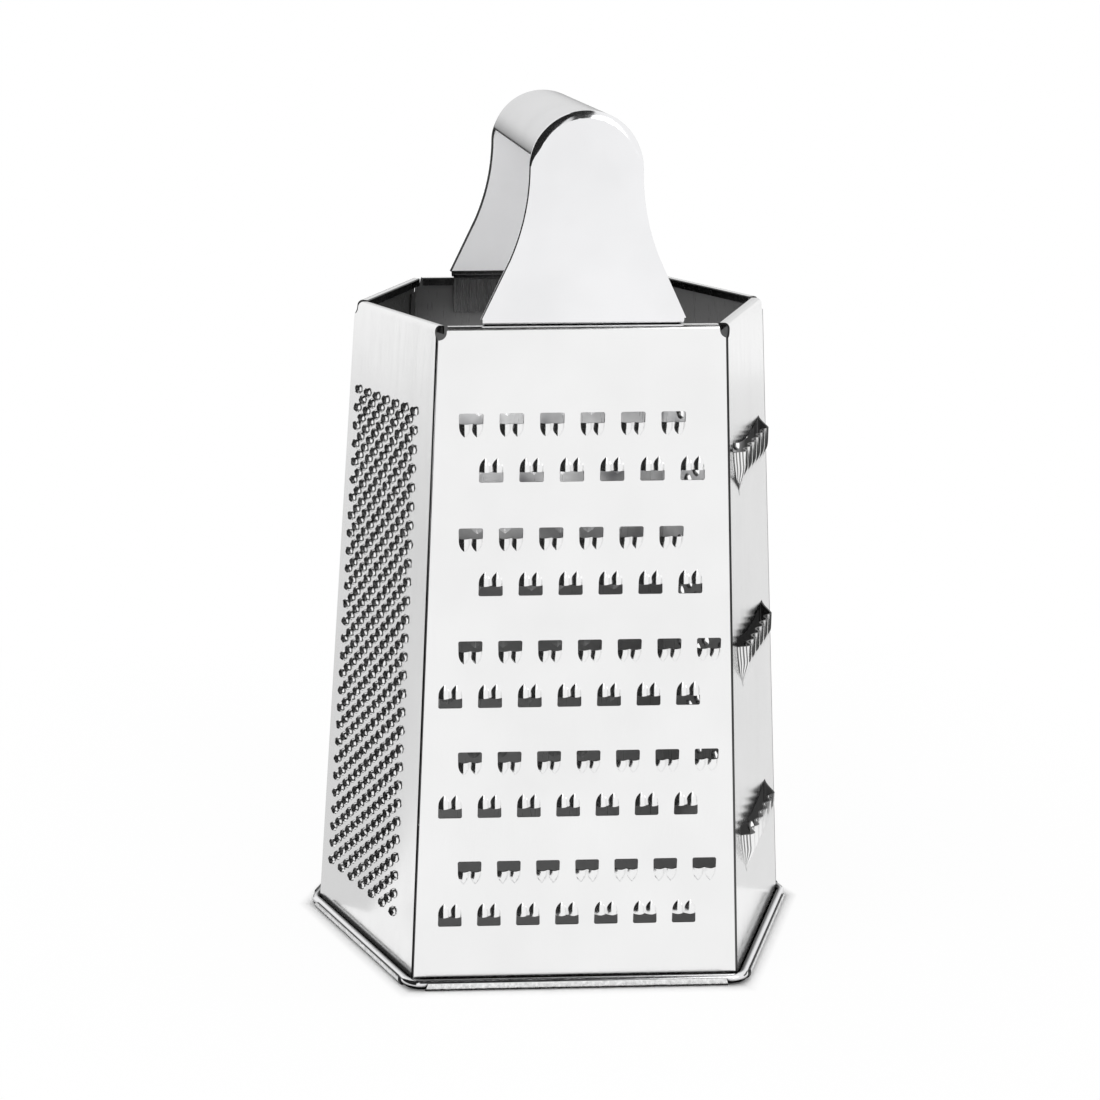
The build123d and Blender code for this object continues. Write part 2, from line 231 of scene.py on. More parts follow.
# World: strength of its light on the object and as a plain white backdrop
world_light = 0.62
backdrop_light = 1.0

# Floor: its shades, with painted shade inside the foot, and how it turns white away from the foot
floor_size = 8
floor_roughness = 0.9
floor_shade = 0.95
inside_floor_painted_shade = 0.16
inside_floor_fade = 0.004
near_fade_reach = 0.003
near_fade_share = 0.94
far_fade_reach = 0.20
far_fade_share = 0.06

# Soft lamps: name, place, size in metres, power in watts and whether metal reflects it
lamps = [
    ("key_lamp", (0.9, -1.3, 1.5), 1.2, 8.0, True),
    ("fill_lamp", (-1.2, -0.4, 1.3), 1.2, 5.0, False),
    ("handle_lamp", (-0.5, -0.6, 0.35), 0.5, 2.6, False),
    ("inner_lamp", (-0.02, 0.0, 0.172), 0.04, 0.08, False),
]

# Cards that only the metal sees: name, corners, first and last shade, and the shading's axis if not Z.
# A corner without a height lies just above the floor.
card_floor = 0.001
cards = [
    ("left_card", [(-0.38, -0.78, 0), (-0.38, 0.17, 0), (-0.38, 0.17, 0.62), (-0.38, -0.78, 0.62)],
     0.02, 0.02),
    ("upper_card",
     [(-0.38, -0.78, 0.62), (-0.38, 0.17, 0.62), (-0.12, 0.30, 0.95), (-0.12, -0.42, 0.95)], 0.02, 0.02),
    ("roof_card", [(-0.12, -1.35, 0.95), (-0.12, 0.75, 0.95), (0.22, 0.75, 0.95), (0.22, -1.35, 0.95)],
     0.03, 0.03),
    ("low_card", [(-0.05, -0.075), (-0.2, -0.5), (-0.38, -0.78), (-0.38, -0.02), (-0.09, -0.02)],
     0.02, 0.02),
    ("right_card", [(0.40, -0.06), (0.40, 0.26), (0.40, 0.26, 0.16), (0.40, -0.06, 0.16)], 0.05, 0.05),
    ("right_low_card", [(0.15, -0.05), (0.40, -0.06), (0.40, 0.26), (0.155, -0.01)], 0.05, 0.05),
    ("left_floor_card", [(-0.98, 0.55), (-0.98, 0.95), (-0.05, 0.07), (-0.072, -0.015)],
     0.86, 0.72, "X"),
    ("right_floor_card", [(0.07, 0.0), (0.14, -0.02), (0.70, 0.66), (0.44, 0.95), (0.05, 0.06)],
     0.80, 0.84, "X"),
]

# Cards behind the set, one above another, with the shades at their edges
back_left, back_right, back_distance = -0.9, 0.7, 1.1
back_heights = (-0.10, 0.17, 0.30, 0.65)
back_shades = (0.02, 0.10, 0.74, 0.85)

# Cards just above the floor: dark strips round the foot, which the metal reflects as a painted contact
# shadow, and one card inside it
contact_height = 0.0001
contact_outside = 0.0003
contact_inside = 0.004
contact_shade = 0.02
inside_card_shades = (0.95, 0.30)

# Camera, solved from the photograph
camera_place = (-0.0831, -0.6061, 0.2678)
camera_yaw = radians(1.90)
camera_pitch = radians(12.71)
camera_roll = radians(-0.28)
camera_lens = 73.47
camera_sensor = 36
camera_shift = (0.20, -0.08)
camera_clip_start = 0.01

# Sizes that follow from the body
up = Vector((0, 0, 1))
wire_seat = wire_radius + curl_clearance
foot_height = 2 * (wire_seat + sheet) - hem_flat_depth
curl_height = sheet + wire_seat - hem_flat_depth
body_drop = rim_height - foot_height
taper = atan(face_spread / body_drop)
face_length = body_drop / cos(taper)
roll_drop = rim_roll_radius * (1 - sin(taper)) / cos(taper)
hem_drop = (rim_height - curl_height + wire_seat * sin(taper)) / cos(taper)
foot_reach = face_spread + 2 * wire_seat + sheet

# Sizes that follow from the handle
arch_height = overall_height - arch_radius
plate_face = handle_length / 2
grip_half = plate_face - arch_edge_radius - grip_end_setback
ledge_height = rim_height + foot_clearance
lip_face = rim_depth / 2 + tan(taper) * rim_roll_radius - rim_roll_radius / cos(taper) - rim_roll_radius
base_half = handle_base_width / 2

corner_x, corner_y = rim_front_width / 2, rim_depth / 2
rim_corners = [
    Vector((x, y, rim_height)) for x, y in (
        (-corner_x, -corner_y), (corner_x, -corner_y), (rim_span / 2, 0),
        (corner_x, corner_y), (-corner_x, corner_y), (-rim_span / 2, 0),
    )
]


class Face:
    """One flat face of the body. Places on it are given across, up the face and out of it."""

    def __init__(self, index):
        self.index = index
        start = rim_corners[index]
        end = rim_corners[(index + 1) % 6]
        self.along = (end - start).normalized()
        self.out = self.along.cross(up)
        self.rise = self.out * cos(taper) + up * sin(taper)
        self.up = up * cos(taper) - self.out * sin(taper)
        self.middle = (start + end) / 2
        self.half = (end - start).length / 2

    def place(self, point):
        """Point in the shared frame of a place on the face."""
        return self.middle + self.along * point[0] + self.up * point[1] + self.rise * point[2]


faces = [Face(index) for index in range(6)]
front, front_right, rear_right, rear, rear_left, front_left = faces


def corner_shift(face, neighbour, spread):
    """How far the corner between two faces moves when both move outward by a spread."""
    return (face.out + neighbour.out) * (spread / (1 + face.out.dot(neighbour.out)))


def corner_run(face, neighbour):
    """How far a corner line runs along the face for each metre down the face."""
    return corner_shift(face, neighbour, face_spread).dot(face.along) / face_length


def spread_corners(spread):
    """The six corners at the rim, moved outward by a spread of every side."""
    return [
        rim_corners[face.index] + corner_shift(face, faces[(face.index - 1) % 6], spread)
        for face in faces
    ]


def face_edges(face, drop):
    """Where the two corner lines cross a level of the face."""
    left = -face.half + corner_run(face, faces[(face.index - 1) % 6]) * drop
    right = face.half + corner_run(face, faces[(face.index + 1) % 6]) * drop
    return left, right


class Skin:
    """Outer skin of one sheet: points with a share of its thickness, faces, and holes of the flat."""

    def __init__(self):
        self.holes = []
        self.points = []
        self.shares = []
        self.faces = []
        self.fronts = []
        self.backs = []

    def grid(self, rows, shares=None, back=inside_index, front=outside_index):
        """Joins equally long rows of points into strips, each row with its share of the thickness."""
        first = len(self.points)
        width = len(rows[0])
        shares = shares or [1.0] * len(rows)
        for share, row in zip(shares, rows):
            self.points.extend(row)
            self.shares.extend([share] * width)
        for row in range(len(rows) - 1):
            for column in range(width - 1):
                corner = first + row * width + column
                self.faces.append((corner, corner + 1, corner + width + 1, corner + width))
                self.fronts.append(front)
                self.backs.append(back)

    def flat(self, outline):
        """Fills a flat outline round the holes."""
        points = [Vector(point[:2]) * fill_scale for point in outline]
        loops = [list(range(len(outline)))]
        for hole in self.holes:
            first = len(points)
            points.extend(Vector(point[:2]) * fill_scale for point in hole)
            loops.append(list(range(first, len(points))))
        made, _, triangles, _, _, sources = delaunay_2d_cdt(points, [], loops, 1, fill_tolerance)
        first = len(self.points)
        self.points.extend((point.x / fill_scale, point.y / fill_scale, 0.0) for point in made)
        self.shares.extend([1.0] * len(made))
        for corners, source in zip(triangles, sources):
            if source == [0]:
                self.faces.append(tuple(first + corner for corner in corners))
                self.fronts.append(outside_index)
                self.backs.append(inside_index)


def thicken(skin, place, thickness, name, materials):
    """Sheet behind a skin, with cut edges of their own material and nothing below the ground."""
    bm = bmesh.new()
    share = bm.verts.layers.float.new("share")
    reverse = bm.faces.layers.int.new("back")
    for point, part in zip(skin.points, skin.shares):
        vert = bm.verts.new(place(point))
        vert[share] = part
    bm.verts.ensure_lookup_table()
    for corners, obverse, back in zip(skin.faces, skin.fronts, skin.backs):
        face = bm.faces.new([bm.verts[corner] for corner in corners])
        face.material_index = obverse
        face[reverse] = back
    bmesh.ops.remove_doubles(bm, verts=bm.verts, dist=merge_distance)
    bmesh.ops.dissolve_degenerate(bm, edges=bm.edges, dist=merge_distance)
    loose = [vert for vert in bm.verts if not vert.link_faces]
    bmesh.ops.delete(bm, geom=loose, context="VERTS")
    bmesh.ops.recalc_face_normals(bm, faces=bm.faces)
    largest = max(bm.faces, key=lambda face: face.calc_area())
    if largest.normal.dot(place((0, 0, 1)) - place((0, 0, 0))) < 0:
        bmesh.ops.reverse_faces(bm, faces=bm.faces)
    bm.normal_update()
    front_faces = list(bm.faces)
    rims = [edge.link_loops[0] for edge in bm.edges if edge.is_boundary]
    rims = [(loop.vert, loop.link_loop_next.vert) for loop in rims]
    behind = {}
    for vert in list(bm.verts):
        stretch = min(vert.calc_shell_factor(), shell_stretch_limit)
        offset = vert.normal * (thickness * vert[share] * stretch)
        behind[vert] = bm.verts.new(vert.co - offset)
    for face in front_faces:
        back = bm.faces.new([behind[vert] for vert in reversed(face.verts)])
        back.material_index = face[reverse]
        back.smooth = True
        face.smooth = True
    for first, second in rims:
        rim = bm.faces.new((second, first, behind[first], behind[second]))
        rim.material_index = cut_index
        rim.smooth = True
    for vert in bm.verts:
        vert.co.z = max(vert.co.z, 0.0)
    return finish_mesh(bm, name, materials)


def finish_mesh(bm, name, materials):
    """Turns a mesh into an object with smooth curves, sharp folds and level flats."""
    bm.normal_update()
    for edge in bm.edges:
        edge.smooth = edge.calc_face_angle(pi) < sharp_angle
    mesh = bpy.data.meshes.new(name)
    bm.to_mesh(mesh)
    bm.free()
    for material in materials:
        mesh.materials.append(material)
    piece = bpy.data.objects.new(name, mesh)
    bpy.context.scene.collection.objects.link(piece)
    weighted = piece.modifiers.new("level_flats", "WEIGHTED_NORMAL")
    weighted.keep_sharp = True
    weighted.weight = flat_normal_weight
    return piece


def arc(centre, radius, start, end, steps):
    """Points along an arc in two dimensions."""
    turns = [start + (end - start) * step / steps for step in range(steps + 1)]
    return [(centre[0] + radius * cos(turn), centre[1] + radius * sin(turn)) for turn in turns]


def body_outline(face):
    """Flat of one face, inside its rolled rim, notches and hem."""
    left, right = face_edges(face, hem_drop)
    gap = (sheet + (open_seam if face is front_left else seam)) / sin(corner_turn)
    left_arc = arc((-face.half, notch_radius - notch_depth), notch_radius, 0, -pi / 2, curve_steps)
    right_arc = arc((face.half, notch_radius - notch_depth), notch_radius, -pi / 2, -pi, curve_steps)
    right_arc = [point for point in right_arc if point[0] < face.half - gap]
    hem_ends = [point[0] for point in hem_curl(face)[0]]
    top_left, top_right = face_edges(face, notch_depth)
    outline = [(-face.half + notch_radius, -roll_drop)]
    outline += left_arc
    outline += [(top_left, -notch_depth), (left, -hem_drop), (hem_ends[0], -hem_drop)]
    outline += [(hem_ends[1], -hem_drop), (right - gap, -hem_drop), (top_right - gap, -notch_depth)]
    outline += right_arc
    outline += [(face.half - notch_radius, -roll_drop)]
    return outline


def rim_roll(face):
    """Rows of the rolled rim and its lip, from the flat inward."""
    rows = []
    path = arc((-rim_roll_radius, -roll_drop), rim_roll_radius, 0, pi / 2, curve_steps)
    fold = (rim_fold_radius - 2 * rim_roll_radius, rim_roll_radius - rim_fold_radius - roll_drop)
    path += arc(fold, rim_fold_radius, pi / 2, pi - taper, curve_steps // 2)
    for step, (depth, height) in enumerate(path):
        half = face.half - notch_radius - (rim_end_setback - notch_radius) * step / (len(path) - 1)
        rows.append([(-half, height, depth), (half, height, depth)])
    lip = rim_lip_depth - rim_roll_radius
    half = face.half - rim_end_setback
    height = rows[-1][0][1] - lip * cos(taper)
    depth = rows[-1][0][2] - lip * sin(taper)
    rows.append([(-half, height, depth), (half, height, depth)])
    return rows[::-1]


def hem_curl(face):
    """Rows of the hem, from the flat down and round the wire."""
    left, right = face_edges(face, face_length)
    rows = []
    steps = 3 * curve_steps
    for step in range(steps + 1):
        turn = pi + curl_sweep * step / steps
        height = wire_seat * sin(turn) - hem_drop
        depth = wire_seat * cos(turn) + wire_seat
        end = hem_setback - hem_slant * sin(pi * step / steps)
        rows.append([(left + end, height, depth), (right - end, height, depth)])
    return rows


def moved(point, place):
    """A point of a punched feature, moved to its place and turned with it."""
    across, height, turned = place
    sign = -1 if turned else 1
    rise = point[2] if len(point) > 2 else 0.0
    return (across + sign * point[0], height + sign * point[1], rise)


def tooth_rows(middle, half, length, rise):
    """Rows of one tooth, from its cutting edge to its tip."""
    rows = []
    for step in range(tooth_steps + 1):
        share = step / tooth_steps
        width = half * (1 - share ** tooth_narrowing)
        height = rise * (1 - share ** tooth_fall)
        row = []
        for column in range(tooth_columns + 1):
            side = 2 * column / tooth_columns - 1
            crown = 1 - abs(side) ** tooth_crown
            row.append((middle + width * side, -length * share, height * crown))
        rows.append(row)
    return rows


def shredder_opening(width, window, length, rise, teeth=1):
    """Outline of one opening in the flat and the rows of its teeth."""
    pitch = width / teeth
    half = pitch / 2 - tooth_web / 2
    corner = window_corner_radius
    outline = [(width / 2 - tooth_web / 2, 0)]
    outline += arc((width / 2 - corner, window - corner), corner, 0, pi / 2, window_corner_steps)
    outline += arc((corner - width / 2, window - corner), corner, pi / 2, pi, window_corner_steps)
    grids = []
    for tooth in range(teeth):
        middle = pitch * (tooth - (teeth - 1) / 2)
        rows = tooth_rows(middle, half, length, rise)
        grids.append(rows)
        outline += [row[0][:2] for row in rows]
        outline += [row[-1][:2] for row in reversed(rows[:-1])]
    return outline[:-1], grids


def punch(skin, places, outline, grids, lines=()):
    """Repeats a punched feature over a face; those of its grids that are lines get painted shade."""
    for place in places:
        skin.holes.append([moved(point, place) for point in outline])
        for index, rows in enumerate(grids):
            front_index = half_shade_index if index in lines else outside_index
            rows = [[moved(point, place) for point in row] for row in rows]
            skin.grid(rows, front=front_index)


def coarse_places():
    """Staggered pairs of rows, a quarter pitch to either side of the face's middle."""
    places = []
    for pair in range(coarse_pairs):
        drop = coarse_first_row_drop + pair * coarse_pair_pitch
        short = 1 if pair < coarse_short_pairs else 0
        for column in range(-coarse_reach, coarse_reach + 1 - short):
            places.append(((column + 1 / 4) * coarse_column_pitch, -drop - coarse_window, False))
        for column in range(-coarse_reach + short, coarse_reach + 1):
            lower = drop + coarse_row_offset + coarse_tooth
            places.append(((column - 1 / 4) * coarse_column_pitch, -lower, True))
    return places


def staggered_places(reach, rows, first_drop, row_pitch, column_pitch):
    """Rows of single openings, every other row moved by half a pitch."""
    places = []
    for row in range(rows):
        shift = row % 2
        for column in range(-reach, reach + 1 - shift):
            places.append(((column + shift / 2) * column_pitch, -first_drop - row * row_pitch, False))
    return places


def lattice_places(face, columns, rows, column_shares, row_shares):
    """Holes at the crossings of a lattice, and one more in the middle of each of its cells."""
    places = []
    for line in range(2 * rows - 1):
        inner = line % 2
        row_share = row_shares[0] + (row_shares[1] - row_shares[0]) * line / (2 * rows - 2)
        drop = row_share * face_length
        left, right = face_edges(face, drop)
        for column in range(columns - inner):
            step = (column + inner / 2) / (columns - 1)
            column_share = column_shares[0] + (column_shares[1] - column_shares[0]) * step
            places.append((left + (right - left) * column_share, -drop))
    return places


def burr_rows(base, rim, rise, lean, chance):
    """Rows of one torn burr, from the flat up to its ragged rim, lower on one side."""
    twist = chance.uniform(0, pi / 2)
    tears = [chance.uniform(-burr_tear, burr_tear) for _ in range(burr_sides)]
    rows = []
    for inward, upward in burr_profile:
        row = []
        for side in range(burr_sides + 1):
            turn = -2 * pi * side / burr_sides
            lobe = burr_lobe_height * cos(burr_lobes * turn + burr_lobes * twist)
            torn = burr_mean_height + lobe + tears[side % burr_sides]
            radius = base + (rim - base) * inward
            pushed = tears[(side + burr_bend_lag) % burr_sides] / burr_tear
            bent = 1 + burr_bend * upward * pushed
            leaning = 1 - lean * (1 + cos(turn)) / 2
            height = rise * upward * (1 + (torn - 1) * upward) * leaning
            row.append((radius * bent * cos(turn), radius * bent * sin(turn), height))
        rows.append(row)
    return rows


def burrs(skin, places, base, rim, rise, lean, seed):
    """A field of torn burrs, no two of them alike."""
    chance = Random(seed)
    for across, height in places:
        rows = burr_rows(base, rim, rise, lean, chance)
        place = (across, height, False)
        skin.holes.append([moved(point, place)[:2] for point in reversed(rows[0][:-1])])
        rows = [[moved(point, place) for point in row] for row in rows]
        # The burr's inside is rough torn metal with painted shade
        skin.grid(rows, burr_thinning, torn_shaded_index)


def smooth_step(part):
    """Smooth rise from 0 to 1."""
    part = min(1.0, max(0.0, part))
    return part * part * (3 - 2 * part)


def slot_patch():
    """Outline of one slicing slot in the flat, and the rows of its fluted lip and sunk apron."""
    columns = flute_columns * flute_count
    start = lip_shoulder / lip_width
    column_shares = [start * step / shoulder_columns for step in range(shoulder_columns)]
    column_shares += [start + (1 - start) * column / columns for column in range(columns + 1)]
    lip = []
    for step in range(lip_steps + 1):
        fall = step / lip_steps
        near_inset = lip_near_inset * fall ** lip_narrowing
        width = lip_width - near_inset - lip_far_inset * fall ** lip_narrowing
        sloped = smooth_step((fall - lip_flat_share) / (1 - lip_flat_share))
        fade = max(0.0, 1 - fall / flute_length) ** flute_fading
        row = []
        for share in column_shares:
            far_end = smooth_step(width * (1 - share) / lip_far_shoulder)
            crown = smooth_step(width * share / lip_shoulder) * far_end
            height = slot_height * (1 - far_end) * (1 - fall) - fall * lip_length
            flute = (1 - cos(2 * pi * flute_count * share)) / 2
            ridge = flute_rise * (2 * flute - 1) * fade
            rise = crown * (lip_rise * (1 - sloped) + ridge)
            row.append((near_inset + share * width - lip_width / 2, height, rise))
        lip.append(row)
    lip[-1] = [(point[0], point[1], 0.0) for point in lip[-1]]
    apron = []
    for step in range(apron_steps + 1):
        fall = step / apron_steps
        row = []
        for share in column_shares:
            sag = 1 - (2 * share - 1) ** 2
            height = slot_height + apron_length * (1 - fall) - apron_sag * sag * fall
            sink = apron_sink * sag * fall ** 2
            row.append(((share - 0.5) * lip_width, height, -sink))
        apron.append(row)
    outline = [row[0][:2] for row in apron] + [row[0][:2] for row in lip]
    outline += [point[:2] for point in lip[-1][1:]]
    outline += [row[-1][:2] for row in reversed(lip[:-1])]
    outline += [row[-1][:2] for row in reversed(apron[:-1])]
    outline += [point[:2] for point in reversed(apron[0][1:-1])]
    walls = [[row[column:column + 2] for row in lip] for column in range(shoulder_columns)]
    return outline, walls + [[row[shoulder_columns:] for row in lip], apron]


def lap_flange(piece_mesh, face):
    """Adds the flange that lies behind the next face."""
    after = faces[(face.index + 1) % 6]
    top = face_edges(after, lap_top_drop)[0]
    low = face_edges(after, hem_drop)[0]
    corners = [(low, -hem_drop), (low + lap_width, -hem_drop)]
    corners += [(top + lap_width, -lap_top_drop), (top, -lap_top_drop)]
    bm = bmesh.new()
    bm.from_mesh(piece_mesh)
    outer = [bm.verts.new(after.place((x, y, -sheet - curl_clearance))) for x, y in corners]
    inner = [bm.verts.new(after.place((x, y, -2 * sheet - curl_clearance))) for x, y in corners]
    for flange_side in (bm.faces.new(outer), bm.faces.new(reversed(inner))):
        flange_side.material_index = inside_index
    for index in range(4):
        following = (index + 1) % 4
        side = bm.faces.new((outer[following], outer[index], inner[index], inner[following]))
        side.material_index = cut_index
    bm.to_mesh(piece_mesh)
    bm.free()


def body_panel(face, skin, name, node, inside):
    """Finished panel: flat, rolled rim, hem and lap flange."""
    skin.flat(body_outline(face))
    roll = rim_roll(face)
    # The rim's lip and its fold get painted shade
    folded = curve_steps // 2 + 1
    skin.grid(roll[:folded + 1], front=shaded_index)
    skin.grid(roll[folded:])
    skin.grid(hem_curl(face), back=hem_index)
    materials = [face_steel, cut_shaded_steel, inside, hem_steel, torn_shaded_steel, half_shade_steel, shaded_steel]
    piece = thicken(skin, face.place, sheet, name, materials)
    lap_flange(piece.data, face)
    dress(piece, node)


def dress(piece, node):
    """The piece stands for its construction node."""
    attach(piece, "root")
    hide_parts(node)


def noise(tree, vector, *values):
    """Noise on a set of coordinates, with its scale, detail and roughness."""
    texture = tree.nodes.new("ShaderNodeTexNoise")
    for name, value in zip(("Scale", "Detail", "Roughness"), values):
        texture.inputs[name].default_value = value
    tree.links.new(vector, texture.inputs["Vector"])
    return texture.outputs["Fac"]


def remap(tree, value, *limits):
    """Maps one range of a value, given by its first two limits, to another."""
    ranged = tree.nodes.new("ShaderNodeMapRange")
    for name, limit in zip(("From Min", "From Max", "To Min", "To Max"), limits):
        ranged.inputs[name].default_value = limit
    tree.links.new(value, ranged.inputs["Value"])
    return ranged.outputs["Result"]


def calculate(tree, operation, *values, clamp=False):
    """Result of a calculation on other results and plain values."""
    node = tree.nodes.new("ShaderNodeMath")
    node.operation = operation
    node.use_clamp = clamp
    put(tree, values, node.inputs)
    return node.outputs["Value"]


def mix(tree, first, second, share):
    """Mix of two colours, each a result or a plain value."""
    blend = tree.nodes.new("ShaderNodeMix")
    blend.data_type = "RGBA"
    put(tree, (first, second, share), (blend.inputs["A"], blend.inputs["B"], blend.inputs["Factor"]))
    return blend.outputs["Result"]


def put(tree, values, inputs):
    """Links each value that is a result to its input and writes each plain one into it."""
    for value, socket in zip(values, inputs):
        if isinstance(value, bpy.types.NodeSocket):
            tree.links.new(value, socket)
        else:
            socket.default_value = value


def grey(shade, blue=0.0):
    """Opaque grey, with a little more blue where that is given."""
    return (shade, shade, shade + blue, 1)


def object_place(tree):
    """Place on the object, in metres."""
    return tree.nodes.new("ShaderNodeTexCoord").outputs["Object"]


def new_material(name):
    """New material, with its node tree and shader."""
    material = bpy.data.materials.new(name)
    material.use_nodes = True
    return material, material.node_tree, material.node_tree.nodes["Principled BSDF"]


def bump(tree, height, strength, depth):
    """Bump of a material's surface."""
    node = tree.nodes.new("ShaderNodeBump")
    node.inputs["Strength"].default_value = strength
    node.inputs["Distance"].default_value = depth
    tree.links.new(height, node.inputs["Height"])
    return node


def steel(name, dark, light, smooth, rough, streak, mottle, metal=1.0, patch=38.0):
    """Brushed sheet metal: upright streaks, soft mottling and a little waviness."""
    material, tree, shader = new_material(name)
    shader.inputs["Metallic"].default_value = metal
    place = object_place(tree)
    stretch = tree.nodes.new("ShaderNodeMapping")
    stretch.inputs["Scale"].default_value = (1.0, 1.0, streak_stretch)
    tree.links.new(place, stretch.inputs["Vector"])
    streaks = noise(tree, stretch.outputs["Vector"], *streak_noise)
    bands = noise(tree, stretch.outputs["Vector"], *band_noise)
    cloud = noise(tree, place, patch, *patch_noise)
    colour = mix(tree, dark, light, remap(tree, cloud, *noise_range, 0.0, 1.0))
    tree.links.new(colour, shader.inputs["Base Color"])
    streaked = remap(tree, streaks, *noise_range, smooth, rough)
    banded = remap(tree, bands, *noise_range, 0.0, band_roughness)
    tree.links.new(calculate(tree, "ADD", streaked, banded), shader.inputs["Roughness"])
    brushed = bump(tree, streaks, streak, streak_depth)
    wavy = bump(tree, cloud, mottle, mottle_depth)
    tree.links.new(brushed.outputs["Normal"], wavy.inputs["Normal"])
    tree.links.new(wavy.outputs["Normal"], shader.inputs["Normal"])
    return material


def base_colour(material):
    """A material's node tree, its colour, and the shader's input for it."""
    base = material.node_tree.nodes["Principled BSDF"].inputs["Base Color"]
    return material.node_tree, base.links[0].from_socket, base


def shade_beyond(material, axis, low, high, shade):
    """Paints shade into a material's colour beyond a place on an axis, where it lies in the shade."""
    tree, colour, base = base_colour(material)
    place = tree.nodes.new("ShaderNodeSeparateXYZ")
    tree.links.new(object_place(tree), place.inputs["Vector"])
    beyond = remap(tree, place.outputs[axis], low, high, 0.0, 1.0)
    tree.links.new(mix(tree, colour, grey(shade), beyond), base)


def paint_gap_shade(material, reach, closed, clear, shade):
    """Paints shade into a material's colour in its narrow gaps, where little light gets in."""
    tree, colour, base = base_colour(material)
    gap = tree.nodes.new("ShaderNodeAmbientOcclusion")
    gap.inputs["Distance"].default_value = reach
    opened = remap(tree, gap.outputs["AO"], closed, clear, 0.0, 1.0)
    tree.links.new(mix(tree, grey(shade), colour, opened), base)


# Each steel: darkest and lightest colour, least and most roughness, strength of streaks and mottling
face_steel = steel("face_steel", grey(0.86), grey(0.90), 0.11, 0.19, 0.08, 0.04)
handle_steel = steel("handle_steel", grey(0.83, 0.01), grey(0.90, 0.01), 0.09, 0.16, 0.06, 0.06)
wire_steel = steel("wire_steel", grey(0.78, 0.01), grey(0.86, 0.01), 0.06, 0.12, 0.05, 0.02)
# Painted shade on the base wire where it lies deep in the hem
paint_gap_shade(wire_steel, 0.004, 0.60, 0.88, 0.02)
inner_steel = steel(
    "inner_steel", grey(0.20, 0.01), grey(1.00), 0.24, 0.34, 0.15, 0.05, metal=0.40, patch=60.0
)

# Painted shade: the inside's colour is darker near the rim, in its lower half and in its right corner
shade_beyond(inner_steel, "Z", 0.140, 0.154, 0.12)
shade_beyond(inner_steel, "Z", 0.108, 0.088, 0.22)
shade_beyond(inner_steel, "X", 0.0525, 0.0545, 0.04)

satin_steel = steel(
    "satin_steel", grey(0.86, 0.01), grey(0.93, 0.01), 0.30, 0.40, 0.12, 0.05, metal=0.15
)
hem_steel = steel("hem_steel", grey(0.58), grey(0.94), 0.20, 0.34, 0.60, 0.30, patch=900.0)
# Shaded steel: painted shade for places that lie in shadow
shaded_steel = steel("shaded_steel", grey(0.04), grey(0.08), 0.16, 0.26, 0.12, 0.05)
# Torn steel of the burrs' insides: rough torn metal, darkened with painted shade
torn_shaded_steel = steel("torn_shaded_steel", grey(0.05), grey(0.34), 0.30, 0.45, 0.25, 0.20, patch=1100.0)
# Half-shade steel: lighter painted shade, for the dark lines on the slots' shoulders and for the
# handle's tabs
half_shade_steel = steel("half_shade_steel", grey(0.10), grey(0.30), 0.20, 0.30, 0.12, 0.05)
# Steel of the cut edges: rough sheared metal, darkened further with painted shade
cut_shaded_steel = steel("cut_shaded_steel", grey(0.07), grey(0.12), 0.25, 0.40, 0.30, 0.02)


def shredder_panel(face, name, node, opening, places):
    """Face of shredding teeth, from the sizes of one opening and the places of all."""
    skin = Skin()
    punch(skin, places, *shredder_opening(*opening))
    body_panel(face, skin, name, node, inner_steel)


def rasp_panel(face, name, node, places, burr, seed):
    """Face of torn burrs, from the sizes of one burr and the places of all."""
    skin = Skin()
    burrs(skin, places, *burr, seed)
    body_panel(face, skin, name, node, inner_steel)


def slicing_panel():
    """Front right face: three slots, each with a fluted lip and a sunk apron."""
    skin = Skin()
    places = []
    for slot in range(slot_count):
        drop = slot_first_drop + slot * slot_pitch
        left, right = face_edges(front_right, drop)
        places.append((left + (right - left) * slot_centre_share, -drop, False))
    punch(skin, places, *slot_patch(), shaded_shoulder_walls)
    # The inside, seen through the slots, is painted shade
    body_panel(front_right, skin, "slicing_sheet", "front_right_slicing_panel", shaded_steel)


def body():
    """The six faces of the body."""
    shredder_panel(
        front, "coarse_sheet", "front_coarse_panel",
        (coarse_width, coarse_window, coarse_tooth, coarse_tooth_rise, coarse_teeth), coarse_places(),
    )
    slicing_panel()
    rasp_panel(
        rear_right, "rasp_sheet", "rear_right_rasp_panel",
        lattice_places(rear_right, rasp_columns, rasp_rows, rasp_column_shares, rasp_row_shares),
        rasp_burr, rasp_seed,
    )
    shredder_panel(
        rear, "medium_sheet", "rear_medium_panel",
        medium_opening,
        staggered_places(
            medium_reach, medium_rows, medium_first_row_drop, medium_row_pitch, medium_column_pitch
        ),
    )
    shredder_panel(
        rear_left, "small_sheet", "rear_left_small_panel",
        small_opening,
        staggered_places(
            small_reach, small_rows, small_first_row_drop, small_row_pitch, small_column_pitch
        ),
    )
    rasp_panel(
        front_left, "fine_sheet", "front_left_fine_panel",
        lattice_places(front_left, fine_columns, fine_rows, fine_column_shares, fine_row_shares),
        fine_burr, fine_seed,
    )


